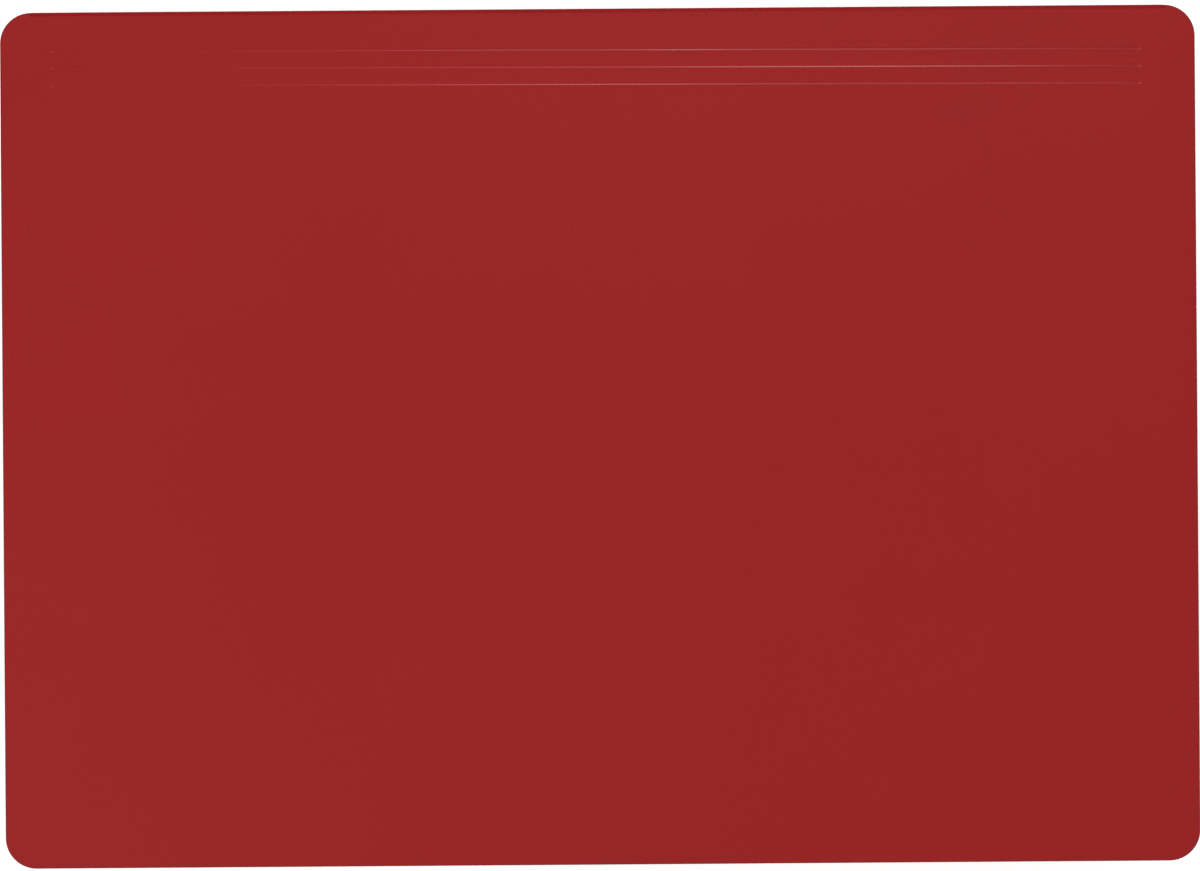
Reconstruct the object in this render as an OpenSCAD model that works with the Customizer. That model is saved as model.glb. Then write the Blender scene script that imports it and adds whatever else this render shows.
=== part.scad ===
// Slim A4 ring binder, closed and lying on its back cover.
// +X runs along the spine, +Y points from the free edge to the spine, +Z is up.
// The origin is at the middle of the footprint, on the surface that the binder lies on.

/* [Case] */
// Length of each cover along the spine
cover_len = 320; // [300:1:420]
// Depth of each cover from the outside of the spine to the free edge
cover_depth = 229.4; // [180:0.2:320]
// Thickness of the plastic sheet
sheet_t = 1.6; // [1.2:0.1:2.2]
// Corner radius of the covers
corner_r = 8.3; // [4:0.1:16]
// Thickness of the folded hinge webs
web_t = 0.4; // [0.3:0.05:0.8]
// Outside radius of a folded hinge web
fold_r = 1.2; // [0.9:0.1:2]
// Room left between an opened ring and the cover beside it
ring_cover_gap = 0.5; // [0.3:0.1:8]

/* [Flex scores] */
// Number of pressed flex scores on each cover
score_count = 3; // [1:1:6]
// Distance from the outside of the spine to the first score
score_first = 10.7; // [8:0.1:20]
// Distance between scores
score_pitch = 4.6; // [2:0.1:8]
// Distance from the end of a score to the end of the cover
score_inset = 13.5; // [10:0.5:40]
// Width of a score at the surface
score_w = 0.9; // [0.6:0.05:1.6]
// Depth of a score
score_depth = 0.15; // [0.1:0.05:0.5]

/* [Rings] */
// Number of rings
ring_count = 4; // [2:2:6]
// Distance between rings, as punched in the sheets
ring_pitch = 80; // [60:1:100]
// Inside diameter of a closed ring
ring_bore = 20; // [16:0.5:30]
// Diameter of the ring wire
wire_d = 2.8; // [2:0.1:3.5]
// Gap between a ring's foot and the bead of its blade
foot_gap = 0.2; // [0.2:0.05:0.4]
// Bend radius of the ring wire above its foot
bend_r = 2; // [1.8:0.1:4]
// Angle that each ring half turns through to open
ring_swing = 14; // [10:0.5:16]
// Length of the nub on one ring tip
nub_len = 1; // [0.6:0.1:1.4]
// Diameter of the nub at its root
nub_d = 1.4; // [1:0.1:1.6]
// Gap between the closed ring tips
tip_gap = 0.1; // [0.05:0.05:0.3]

/* [Mechanism] */
// Width of the ring housing
housing_w = 19; // [18:0.5:24]
// Sheet thickness of the ring housing
housing_t = 0.8; // [0.6:0.1:1]
// Gap between the spine and the curled edges of the housing
housing_lift = 1.65; // [1.4:0.05:3]
// Height of the housing's side walls above the blade pivots
skirt_h = 1.3; // [1.2:0.1:2.5]
// Rise of the housing's arched top
arch_rise = 2; // [1.5:0.1:4]
// Length of housing past the outermost ring
housing_end = 21; // [21:0.5:30]
// Thickness of the two carrier blades
blade_t = 0.8; // [0.6:0.1:1]
// Radius of the bead that each blade turns on
bead_r = 0.7; // [0.5:0.05:0.8]
// Running clearance of a bead in its curled seat
bead_gap = 0.05; // [0.02:0.01:0.1]
// Gap between the two blades where they meet
blade_gap = 0.3; // [0.2:0.05:0.6]
// Radius of the tenons that hold the rings in the blades
tenon_r = 1; // [0.6:0.1:1.2]
// Clearance of the tenons in the blades
tenon_gap = 0.02; // [0.01:0.01:0.1]
// Radius of the staked head on each tenon
stake_r = 1.4; // [1.2:0.1:1.5]
// Height of the staked head on each tenon
stake_h = 0.4; // [0.2:0.1:0.6]

/* [Levers] */
// Radius of the lever pins
pin_r = 1; // [0.8:0.05:1.2]
// Running clearance of a lever on its pin
pin_gap = 0.05; // [0.02:0.01:0.1]
// Radius of the lever hub
hub_r = 2; // [1.7:0.1:2.2]
// Width of the lever between its ears
lever_w = 10.8; // [8:0.1:11]
// Side clearance between a lever and its ears
lever_gap = 0.2; // [0.1:0.05:0.4]
// Height of the lever pins above the spine
pin_n = 3.4; // [3.2:0.05:4]
// Reach of the lever tongue under the blades
tongue_len = 5.6; // [5:0.1:6.5]
// Width of the lever tongue
tongue_w = 3; // [2:0.1:3.2]
// Thickness of the lever tongue
tongue_t = 0.8; // [0.5:0.1:0.9]
// Bend radius of the lever handle
handle_bend_r = 18; // [12:1:30]
// Angle that the lever handle bends through
handle_arc = 50; // [35:1:60]
// Thickness of the lever handle
handle_t = 1.4; // [1:0.1:2]
// Width of the thumb pad
pad_w = 15; // [11:0.5:18]
// Height of the narrow neck under the thumb pad
neck_h = 6.8; // [5:0.1:8]

/* [Rivets] */
// Distance of each rivet from the middle of the spine
rivet_x = 80; // [60:1:100]
// Radius of the rivet shank
rivet_r = 2; // [1.5:0.1:2.5]
// Radius of the rivet head outside the spine
rivet_head_r = 4.5; // [3.5:0.1:6]
// Height of the rivet head outside the spine
rivet_head_h = 0.9; // [0.6:0.1:1.5]
// Radius of the flared rivet end on the housing
flare_r = 3.2; // [2.6:0.1:4]
// Height of the flared rivet end
flare_h = 0.7; // [0.4:0.1:1]
// Outside radius of the standoff sleeves
sleeve_r = 3; // [2.6:0.1:4]
// Clearance around the rivet shanks
rivet_gap = 0.05; // [0.02:0.01:0.1]
// Clearance of the blades around the standoff sleeves
sleeve_gap = 0.7; // [0.4:0.1:1.2]

/* [Hidden] */
$fn = 64;
eps = 0.01;
red = [0.59, 0.16, 0.155];
steel = "silver";
dark_steel = "darkgray";

// Mechanism section, in its own frame: x along the spine, w across it, n away from it
curl_in = bead_r + bead_gap;
curl_out = curl_in + housing_t;
pivot_w = housing_w / 2 - curl_out;
pivot_n = housing_lift + curl_out;
spring_n = pivot_n + skirt_h;
crown_n = spring_n + arch_rise;
arch_r = (pow(housing_w / 2, 2) + pow(arch_rise, 2)) / (2 * arch_rise);
arch_n = crown_n - arch_r;
blade_tilt = ring_swing / 2;
blade_len = pivot_w - blade_gap / 2;
ring_r = (ring_bore + wire_d) / 2;
foot_w = pivot_w - bead_r - foot_gap - wire_d / 2;
foot_n = pivot_n - (pivot_w - foot_w) * tan(blade_tilt) + blade_t / 2 / cos(blade_tilt);
// The bend starts below the blade's face, which trims it
bend_n = foot_n - wire_d * tan(blade_tilt);
ring_n = bend_n + sqrt(pow(ring_r + bend_r, 2) - pow(foot_w + bend_r, 2));
// The two bends of the wire meet in a slightly thicker knuckle
join_cut = 0.15;
join_bulge = 0.16;
join_angle = -acos((foot_w + bend_r) / (ring_r + bend_r));
tip_angle = 90 - asin(tip_gap / 2 / ring_r);

// How far an opened ring reaches to the side, which sets the height of the spine
open_shift = (ring_n - pivot_n) * sin(ring_swing) + pivot_w * (1 - cos(ring_swing));
open_reach = ring_r + wire_d / 2 + open_shift;
case_h = 2 * (open_reach + ring_cover_gap + sheet_t);

// Case outline, set so that the footprint with the rivet heads is centred on the origin
spine_y = (cover_depth - rivet_head_h) / 2;
free_y = spine_y - cover_depth;
spine_in_y = spine_y - sheet_t;
// The spine and the webs stop where the corner rounding of the covers starts
web_end_gap = 0.1;
fold_half = cover_len / 2 - corner_r;
spine_half = fold_half - web_end_gap;
bevel = sheet_t - web_t;

// Places along the spine
ring_x = [for (i = [0 : ring_count - 1]) (i - (ring_count - 1) / 2) * ring_pitch];
outer_ring_x = (ring_count - 1) / 2 * ring_pitch;
housing_half = outer_ring_x + housing_end;
pin_x = housing_half - 4;
ear_t = 0.8;
ear_w = lever_w / 2 + lever_gap;
ear_len = 7;
ear_x = housing_half - ear_len;
blade_half = ear_x - 0.6;
slot_side_gap = 0.5;
slot_floor_gap = 0.8;
ring_slot_n = pivot_n + slot_floor_gap;
ring_slot_w = foot_w - wire_d / 2 - slot_side_gap;
pin_head_r = pin_r + 0.15;
pin_head_t = 0.5;
neck_w = lever_w - 1.8;
lip_r = 1.1;
tongue_low = pin_n - 0.5;
heel_x = hub_r - 0.4;
sleeve_h = arch_n + sqrt(pow(arch_r - housing_t, 2) - pow(sleeve_r, 2));
score_r = (pow(score_w / 2, 2) + pow(score_depth, 2)) / (2 * score_depth);

// Shared shapes

// Rounded plate with its spine edge at spine_y
module cover_plate() {
    straight = cover_len - 2 * corner_r;
    translate([-straight / 2, free_y, 0]) cube([straight, cover_depth, sheet_t]);
    translate([-cover_len / 2, free_y + corner_r, 0])
        cube([cover_len, cover_depth - 2 * corner_r, sheet_t]);
    for (x = [-straight / 2, straight / 2], y = [free_y + corner_r, spine_y - corner_r])
        translate([x, y, 0]) cylinder(r = corner_r, h = sheet_t);
}

// Cross-section in Y and Z drawn out along X
module along_spine(half) {
    rotate([90, 0, 90]) translate([0, 0, -half]) linear_extrude(2 * half) children();
}

// Shallow round-bottomed groove with round ends, sunk from z = 0
module score(half) {
    score_end = half - score_w / 2;
    intersection() {
        translate([0, 0, score_r - score_depth]) {
            translate([-score_end, 0, 0]) rotate([0, 90, 0]) cylinder(r = score_r, h = 2 * score_end);
            for (x = [-score_end, score_end]) translate([x, 0, 0]) sphere(r = score_r);
        }
        translate([-half, -score_w, -2 * score_depth]) cube([2 * half, 2 * score_w, 3 * score_depth]);
    }
}

// Front cover lying with its outer face at z = 0 and its thickness below
module scored_cover() {
    difference() {
        translate([0, 0, -sheet_t]) cover_plate();
        along_spine(fold_half)
            polygon([
                [spine_y - fold_r, 1], [spine_y - fold_r, -web_t],
                [spine_y - fold_r - bevel, -sheet_t], [spine_y - fold_r - bevel, -sheet_t - 1],
                [spine_y + 1, -sheet_t - 1], [spine_y + 1, 1]]);
        for (i = [0 : score_count - 1])
            translate([0, spine_y - score_first - i * score_pitch, 0])
                score(cover_len / 2 - score_inset);
    }
}

// Quarter-round web of the upper fold
module fold_web() {
    along_spine(spine_half)
        translate([spine_y - fold_r, -fold_r]) intersection() {
            difference() {
                circle(r = fold_r);
                circle(r = fold_r - web_t);
            }
            square(fold_r);
        }
}

// Moves the mechanism's own frame onto the inner face of the spine
module on_spine() {
    translate([0, spine_in_y, case_h / 2]) rotate([90, 0, 0]) children();
}

// Moves a blade's own frame, with its pivot at the origin, to the front side of the mechanism
module at_pivot() {
    translate([0, pivot_w, pivot_n]) rotate([blade_tilt, 0, 0]) children();
}

// Mirrors a front-side shape to the back side of the mechanism
module side(front) {
    mirror([0, front ? 0 : 1, 0]) children();
}

// Round bar along x
module bar_x(r, half) {
    translate([-half, 0, 0]) rotate([0, 90, 0]) cylinder(r = r, h = 2 * half);
}

// Round bar along w
module bar_w(r, half) {
    translate([0, half, 0]) rotate([90, 0, 0]) cylinder(r = r, h = 2 * half);
}

// Case

module front_cover() {
    color(red) translate([0, 0, case_h]) scored_cover();
}

module back_cover() {
    color(red) mirror([0, 0, 1]) scored_cover();
}

module front_hinge_web() {
    color(red) translate([0, 0, case_h]) fold_web();
}

module back_hinge_web() {
    color(red) mirror([0, 0, 1]) fold_web();
}

module spine_panel() {
    color(red) difference() {
        along_spine(spine_half)
            polygon([
                [spine_y, fold_r], [spine_y, case_h - fold_r],
                [spine_y - web_t, case_h - fold_r], [spine_in_y, case_h - fold_r - bevel],
                [spine_in_y, fold_r + bevel], [spine_y - web_t, fold_r]]);
        on_spine() for (x = [-rivet_x, rivet_x])
            translate([x, 0, -2 * sheet_t]) cylinder(r = rivet_r + rivet_gap, h = 4 * sheet_t);
    }
}

// Ring housing

// Half section of the housing: arched top, side wall and curled edge
module housing_section() {
    difference() {
        union() {
            intersection() {
                translate([0, arch_n]) difference() {
                    circle(r = arch_r);
                    circle(r = arch_r - housing_t);
                }
                translate([-housing_w / 2, spring_n]) square([housing_w, 2 * arch_rise]);
            }
            for (s = [-1, 1]) {
                translate([s * (housing_w - housing_t) / 2 - housing_t / 2, pivot_n])
                    square([housing_t, skirt_h]);
                translate([s * pivot_w, pivot_n]) intersection() {
                    circle(r = curl_out);
                    polygon([
                        [0, 0], [s * 2 * curl_out, 0], [s * 2 * curl_out, -2 * curl_out],
                        [-s * 0.9 * curl_out, -2 * curl_out]]);
                }
            }
        }
        for (s = [-1, 1]) translate([s * pivot_w, pivot_n]) circle(r = curl_in);
    }
}

module housing_ears() {
    ear_low = pin_n - pin_r - 1;
    ear_top = arch_n + sqrt(pow(arch_r - housing_t / 2, 2) - pow(ear_w + ear_t, 2));
    for (end = [-1, 1], s = [-1, 1]) difference() {
        translate([
                end > 0 ? ear_x : -housing_half,
                s > 0 ? ear_w : -ear_w - ear_t,
                ear_low])
            cube([ear_len, ear_t, ear_top - ear_low]);
        translate([end * pin_x, 0, pin_n]) bar_w(pin_r + pin_gap, housing_w);
    }
}

module ring_housing() {
    color(steel) on_spine() {
        difference() {
            translate([-housing_half, 0, 0])
                rotate([90, 0, 90]) linear_extrude(2 * housing_half) housing_section();
            for (x = ring_x, s = [-1, 1])
                translate([
                        x - wire_d / 2 - slot_side_gap,
                        s > 0 ? ring_slot_w : -housing_w,
                        ring_slot_n])
                    cube([wire_d + 2 * slot_side_gap, housing_w - ring_slot_w, crown_n]);
            for (x = [-rivet_x, rivet_x])
                translate([x, 0, 0]) cylinder(r = rivet_r + rivet_gap, h = 2 * crown_n);
            for (end = [-1, 1])
                translate([end > 0 ? ear_x : -housing_half - 1, -ear_w, spring_n - skirt_h])
                    cube([ear_len + 1, 2 * ear_w, 2 * crown_n]);
        }
        housing_ears();
    }
}

// Carrier blades and rings

module blade(front) {
    color(dark_steel) on_spine() side(front) difference() {
        at_pivot() {
            bar_x(bead_r, blade_half);
            translate([-blade_half, -blade_len, -blade_t / 2])
                cube([2 * blade_half, blade_len, blade_t]);
        }
        for (x = [-rivet_x, rivet_x])
            translate([x, 0, 0]) cylinder(r = sleeve_r + sleeve_gap, h = 2 * crown_n);
        for (x = ring_x)
            ring_tenon_place(x) translate([0, 0, -blade_t]) cylinder(r = tenon_r + tenon_gap, h = 2 * blade_t);
    }
}

// Frame of a ring's tenon, with the middle of the blade's thickness at z = 0
module ring_tenon_place(x) {
    at_pivot() translate([x, -(pivot_w - foot_w) / cos(blade_tilt), 0]) children();
}

module ring_half(x, front) {
    color(steel) on_spine() side(front) {
        difference() {
            union() {
                ring_arc(x);
                if (front) ring_tip(x) cylinder(r1 = nub_d / 2, r2 = nub_d / 3, h = nub_len);
            }
            at_pivot() translate([x - wire_d, -2 * ring_r, -2 * ring_r + blade_t / 2])
                cube([2 * wire_d, 4 * ring_r, 2 * ring_r]);
            at_pivot() translate([x, 0, 0]) bar_x(bead_r + foot_gap / 4, wire_d);
            if (!front) ring_tip(x) mirror([0, 0, 1]) translate([0, 0, -3 * eps])
                cylinder(r1 = nub_d / 2 + 2 * tip_gap, r2 = nub_d / 3 + 2 * tip_gap, h = nub_len + tip_gap);
        }
        ring_tenon_place(x) {
            translate([0, 0, -blade_t / 2]) cylinder(r = tenon_r, h = blade_t + eps);
            translate([0, 0, -blade_t / 2 - stake_h]) cylinder(r = stake_r, h = stake_h);
        }
    }
}

// Wire of one ring half, from past its foot to its tip
module ring_arc(x) {
    wire_bend(x, foot_w + bend_r, bend_n, bend_r, 180 + join_angle + join_cut / bend_r * 180 / PI, 180);
    wire_bend(x, 0, ring_n, ring_r, join_angle + join_cut / ring_r * 180 / PI, tip_angle);
    translate([x, ring_r * cos(join_angle), ring_n + ring_r * sin(join_angle)])
        sphere(d = wire_d + join_bulge);
}

// Part of a torus of wire around an axis along x, between two angles
module wire_bend(x, w, n, radius, from, to) {
    translate([x, w, n]) rotate([90, 0, 90]) rotate([0, 0, from])
        rotate_extrude(angle = to - from) translate([radius, 0]) circle(d = wire_d);
}

// Frame of a ring's tip, with z pointing out of the tip face
module ring_tip(x) {
    translate([x, tip_gap / 2 + eps, ring_n + ring_r]) rotate([90, 0, 0]) children();
}

// Levers

// Moves a lever's own frame, with its pin at the origin and +x outwards, to one end
module at_lever(end) {
    on_spine() rotate([0, 0, end > 0 ? 0 : 180]) translate([pin_x, 0, pin_n]) children();
}

// Band that leaves the hub upwards and bends outwards
module handle_band(width) {
    translate([handle_bend_r, width / 2, 0]) rotate([90, 0, 0])
        rotate([0, 0, 180 - handle_arc]) linear_extrude(width) difference() {
            intersection() {
                circle(r = handle_bend_r + handle_t / 2);
                polygon([
                    [0, 0], [2 * handle_bend_r, 0],
                    2 * handle_bend_r * [cos(handle_arc), sin(handle_arc)]]);
            }
            circle(r = handle_bend_r - handle_t / 2);
        }
}

module lever(end) {
    color(steel) at_lever(end) difference() {
        union() {
            bar_w(hub_r, lever_w / 2);
            translate([-tongue_len, -tongue_w / 2, -tongue_low]) cube([tongue_len + heel_x, tongue_w, tongue_t]);
            translate([-heel_x, -tongue_w / 2, -tongue_low]) cube([2 * heel_x, tongue_w, tongue_low]);
            difference() {
                handle_band(pad_w);
                for (s = [-1, 1])
                    translate([-hub_r, s > 0 ? neck_w / 2 : -pad_w, -hub_r])
                        cube([2 * hub_r, pad_w - neck_w / 2, hub_r + neck_h]);
            }
            translate([
                    handle_bend_r * (1 - cos(handle_arc)), 0, handle_bend_r * sin(handle_arc)])
                bar_w(lip_r, pad_w / 2);
        }
        bar_w(pin_r + pin_gap, lever_w);
    }
}

module lever_pin(end) {
    color(dark_steel) at_lever(end) {
        bar_w(pin_r, ear_w + ear_t);
        for (s = [-1, 1])
            translate([0, s * (ear_w + ear_t + pin_head_t / 2), 0]) bar_w(pin_head_r, pin_head_t / 2);
    }
}

// Rivets

module rivet(end) {
    dome_r = (pow(rivet_head_r, 2) + pow(rivet_head_h, 2)) / (2 * rivet_head_h);
    color(steel) on_spine() translate([end * rivet_x, 0, 0]) {
        difference() {
            translate([0, 0, -sheet_t]) cylinder(r = rivet_r, h = crown_n + sheet_t + flare_h);
            translate([0, 0, crown_n - rivet_r]) cylinder(r = rivet_r / 2, h = 2 * rivet_r + flare_h);
        }
        difference() {
            translate([0, 0, crown_n]) cylinder(r1 = flare_r, r2 = flare_r - flare_h / 2, h = flare_h);
            cylinder(r = rivet_r - eps, h = 2 * crown_n);
        }
        translate([0, 0, -sheet_t - rivet_head_h]) intersection() {
            translate([0, 0, dome_r]) sphere(r = dome_r);
            cylinder(r = rivet_head_r, h = rivet_head_h);
        }
    }
}

module standoff(end) {
    color(dark_steel) on_spine() translate([end * rivet_x, 0, 0]) difference() {
        cylinder(r = sleeve_r, h = sleeve_h);
        translate([0, 0, -1]) cylinder(r = rivet_r + rivet_gap, h = sleeve_h + 2);
    }
}

front_cover();
spine_panel();
back_cover();
front_hinge_web();
back_hinge_web();
ring_housing();
blade(true);  // front_blade
blade(false);  // back_blade
for (i = [1 : ring_count]) {
    ring_half(ring_x[i - 1], true);
    ring_half(ring_x[i - 1], false);
}
lever(1);  // top_lever
lever(-1);  // bottom_lever
lever_pin(1);  // top_lever_pin
lever_pin(-1);  // bottom_lever_pin
rivet(1);  // top_rivet
rivet(-1);  // bottom_rivet
standoff(1);  // top_standoff
standoff(-1);  // bottom_standoff
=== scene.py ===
import math
import bmesh
import bpy
from mathutils import Matrix, Vector
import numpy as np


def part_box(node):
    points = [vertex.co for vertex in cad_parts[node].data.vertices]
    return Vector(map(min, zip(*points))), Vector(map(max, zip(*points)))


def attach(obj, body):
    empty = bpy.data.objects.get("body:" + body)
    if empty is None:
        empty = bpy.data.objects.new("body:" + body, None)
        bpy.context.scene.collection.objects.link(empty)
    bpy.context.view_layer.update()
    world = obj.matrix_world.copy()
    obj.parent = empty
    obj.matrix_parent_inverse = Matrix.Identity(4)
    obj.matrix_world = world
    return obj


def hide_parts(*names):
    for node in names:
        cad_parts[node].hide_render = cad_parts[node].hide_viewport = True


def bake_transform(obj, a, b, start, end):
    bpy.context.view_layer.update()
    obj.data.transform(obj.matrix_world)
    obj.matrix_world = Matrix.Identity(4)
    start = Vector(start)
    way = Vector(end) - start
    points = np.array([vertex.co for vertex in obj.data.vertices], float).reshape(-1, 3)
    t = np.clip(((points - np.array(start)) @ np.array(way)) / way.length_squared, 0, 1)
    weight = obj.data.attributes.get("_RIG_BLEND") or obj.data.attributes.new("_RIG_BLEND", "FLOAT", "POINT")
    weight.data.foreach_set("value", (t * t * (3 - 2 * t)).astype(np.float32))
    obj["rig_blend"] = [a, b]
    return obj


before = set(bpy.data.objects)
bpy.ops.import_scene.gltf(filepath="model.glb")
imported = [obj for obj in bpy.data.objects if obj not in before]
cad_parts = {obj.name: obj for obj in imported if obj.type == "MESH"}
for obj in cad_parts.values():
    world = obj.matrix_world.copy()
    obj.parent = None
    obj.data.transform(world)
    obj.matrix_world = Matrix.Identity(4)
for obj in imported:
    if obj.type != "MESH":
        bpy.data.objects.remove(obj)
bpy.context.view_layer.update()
scene = bpy.context.scene
scene.view_settings.view_transform = "Standard"

mm = 0.001  # pieces are shaped in millimetres, and come to metres when they are placed
hair = 1e-3  # in millimetres, less than any detail
coverLow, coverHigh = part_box("front_cover")
caseTop = coverHigh[2] / mm
freeY = coverLow[1] / mm
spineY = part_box("spine_panel")[1][1] / mm  # outside of the spine
quarterX = Matrix.Rotation(math.pi / 2, 4, "X")  # lays what stands along z down along y


def newMaterial(name):
    mat = bpy.data.materials.new(name)
    mat.use_nodes = True
    return mat, mat.node_tree, mat.node_tree.nodes["Principled BSDF"]


def addNode(tree, kind, inputs=None):  # adds a shader node and sets its plain inputs
    node = tree.nodes.new(kind)
    node.location = (-200 * len(tree.nodes), 0)  # each one further left
    for key, value in (inputs or {}).items():
        node.inputs[key].default_value = value
    return node


def noiseAt(tree, coords, scale, detail):
    texture = addNode(tree, "ShaderNodeTexNoise", {"Scale": scale, "Detail": detail})
    tree.links.new(coords, texture.inputs["Vector"])
    return texture.outputs["Fac"]


def toneRamp(tree, factor, ends, dark, light):
    ramp = addNode(tree, "ShaderNodeValToRGB")
    for element, place, colour in zip(ramp.color_ramp.elements, ends, (dark, light)):
        element.position = place
        element.color = (*colour, 1)
    tree.links.new(factor, ramp.inputs["Fac"])
    return ramp.outputs["Color"]


def toRange(tree, factor, low, high):
    node = addNode(tree, "ShaderNodeMapRange", {"To Min": low, "To Max": high})
    tree.links.new(factor, node.inputs["Value"])
    return node.outputs["Result"]


def mathOf(tree, operation, first, second):
    node = addNode(tree, "ShaderNodeMath")
    node.operation = operation
    tree.links.new(first, node.inputs[0])
    tree.links.new(second, node.inputs[1])
    return node.outputs["Value"]


def mixOver(tree, kind, factor, base, over, blend="MIX"):
    mix = addNode(tree, "ShaderNodeMix")
    mix.data_type = kind
    mix.blend_type = blend
    mix.inputs["B"].default_value = over
    tree.links.new(factor, mix.inputs["Factor"])
    tree.links.new(base, mix.inputs["A"])
    return mix.outputs["Result"]


def pointValue(tree, name):  # a value that the mesh carries at its points
    node = addNode(tree, "ShaderNodeAttribute")
    node.attribute_name = name
    return node.outputs["Fac"]


sheetLook = {
    "dark": (0.312, 0.0082, 0.0078), "light": (0.328, 0.0092, 0.0088), "toneEnds": (0.3, 0.7),
    # the dark red darkens edges and folds, as wear and as painted shade
    # the lighter red of the score walls is stretched plastic and also a painted highlight
    "fleck": (0.94, 0.9, 0.9), "fleckEnds": (0.5, 0.75), "wornAndShaded": (0.06, 0.01, 0.012), "paleAndHighlight": (0.57, 0.025, 0.03),
    "cloud": (14.0, 4.0), "speck": (900.0, 2.0), "grain": (2600.0, 3.0),  # noises, as scale and detail
    "rough": (0.48, 0.58), "pressed": 0.285, "specular": 0.2,
    "wave": 0.3, "waveHeight": 0.0006, "bump": 0.6, "grainHeight": 0.00009,
}
# the fold's base red is a little darker than the sheet's: painted shade against the lamp light on its rounding
foldLook = {
    **sheetLook, "dark": (0.3, 0.0085, 0.008), "light": (0.325, 0.0105, 0.01), "fleck": (0.95, 0.9, 0.9),
    "cloud": (60.0, 4.0), "speck": (1200.0, 2.0), "grain": (3000.0, 3.0),
    "pressed": 0.4, "specular": 0.06, "wave": 0.1, "bump": 0.08,
}


def redPlastic(name, look):
    mat, tree, shader = newMaterial(name)
    link = tree.links.new
    coords = addNode(tree, "ShaderNodeTexCoord").outputs["Object"]
    cloud, speck, grain = [noiseAt(tree, coords, *look[key]) for key in ("cloud", "speck", "grain")]
    tone = toneRamp(tree, cloud, look["toneEnds"], look["dark"], look["light"])
    fleckMask = addNode(tree, "ShaderNodeMapRange", dict(zip(("From Min", "From Max"), look["fleckEnds"])))
    link(speck, fleckMask.inputs["Value"])
    flecks = mixOver(tree, "RGBA", fleckMask.outputs["Result"], tone, (*look["fleck"], 1), "MULTIPLY")
    # the die's stretched plastic is paler, and the same paler red on the score wall that faces the rim lamp is a
    # painted highlight
    stretchedAndHighlit = mixOver(tree, "RGBA", pointValue(tree, "paleAndHighlight"), flecks, (*look["paleAndHighlight"], 1))
    # edges, folds and spine ends are mixed in specks towards a dark red: wear, and painted shade along the cover
    # edges and on the folds
    wearAndShade = mathOf(tree, "MULTIPLY", pointValue(tree, "wearAndShade"), speck)
    wornAndShaded = mixOver(tree, "RGBA", wearAndShade, stretchedAndHighlit, (*look["wornAndShaded"], 1))
    link(wornAndShaded, shader.inputs["Base Color"])
    # the die leaves its scores smoother than the sheet, and presses their grain flat
    die = pointValue(tree, "pressed")
    burnish = mixOver(tree, "FLOAT", die, toRange(tree, cloud, *look["rough"]), look["pressed"])
    link(burnish, shader.inputs["Roughness"])
    wave = addNode(tree, "ShaderNodeBump", {"Strength": look["wave"], "Distance": look["waveHeight"]})
    link(cloud, wave.inputs["Height"])
    bump = addNode(tree, "ShaderNodeBump", {"Distance": look["grainHeight"]})
    link(toRange(tree, die, look["bump"], 0.0), bump.inputs["Strength"])
    link(grain, bump.inputs["Height"])
    link(wave.outputs["Normal"], bump.inputs["Normal"])
    link(bump.outputs["Normal"], shader.inputs["Normal"])
    shader.inputs["Specular IOR Level"].default_value = look["specular"]
    return mat


nickelLook = {
    "dark": (0.45, 0.436, 0.41), "light": (0.58, 0.562, 0.528), "toneEnds": (0.35, 0.65), "rough": (0.16, 0.32),
    "stretch": (0.15, 1, 1), "streak": (900.0, 5.0), "smudge": (70.0, 3.0),  # streaks run along the spine
    "bump": 0.05, "streakHeight": 0.00002,
}
rolledLook = {
    **nickelLook, "dark": (0.36, 0.36, 0.36), "light": (0.46, 0.46, 0.455), "rough": (0.34, 0.5),
    "stretch": (0.08, 1, 1), "streak": (1400.0, 5.0), "smudge": (45.0, 3.0), "bump": 0.12,
}


def plateSteel(name, look):
    mat, tree, shader = newMaterial(name)
    link = tree.links.new
    shader.inputs["Metallic"].default_value = 1.0
    coords = addNode(tree, "ShaderNodeTexCoord").outputs["Object"]
    stretch = addNode(tree, "ShaderNodeMapping", {"Scale": look["stretch"]})
    link(coords, stretch.inputs["Vector"])
    streak = noiseAt(tree, stretch.outputs["Vector"], *look["streak"])
    smudge = noiseAt(tree, coords, *look["smudge"])
    link(toneRamp(tree, smudge, look["toneEnds"], look["dark"], look["light"]), shader.inputs["Base Color"])
    link(toRange(tree, streak, *look["rough"]), shader.inputs["Roughness"])
    bump = addNode(tree, "ShaderNodeBump", {"Strength": look["bump"], "Distance": look["streakHeight"]})
    link(streak, bump.inputs["Height"])
    link(bump.outputs["Normal"], shader.inputs["Normal"])
    return mat


redSheet = redPlastic("redSheet", sheetLook)
redFold = redPlastic("redFold", foldLook)
nickelPlate = plateSteel("nickelPlate", nickelLook)
rolledSteel = plateSteel("rolledSteel", rolledLook)
print("materials made")


def inOrder(parts):  # each part once, in the same order on every run
    return list(dict.fromkeys(parts))


def vertsIn(geom):
    return [g for g in geom if isinstance(g, bmesh.types.BMVert)]


def edgesIn(geom):
    return [g for g in geom if isinstance(g, bmesh.types.BMEdge)]


def span(edge):
    return edge.verts[1].co - edge.verts[0].co


def roundEdges(bm, edges, width, steps, clamp=False):
    bmesh.ops.bevel(bm, geom=edges, offset=width, offset_type="OFFSET", segments=steps, profile=0.5,
                    affect="EDGES", material=-1, clamp_overlap=clamp)


def scaleAbout(bm, centre, share, verts):
    bmesh.ops.scale(bm, vec=share, space=Matrix.Translation(-Vector(centre)), verts=verts)


def cutAt(bm, at, normal, geom=None):
    bmesh.ops.bisect_plane(bm, geom=geom or bm.verts[:] + bm.edges[:] + bm.faces[:], plane_co=at, plane_no=normal,
                           dist=hair)


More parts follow.
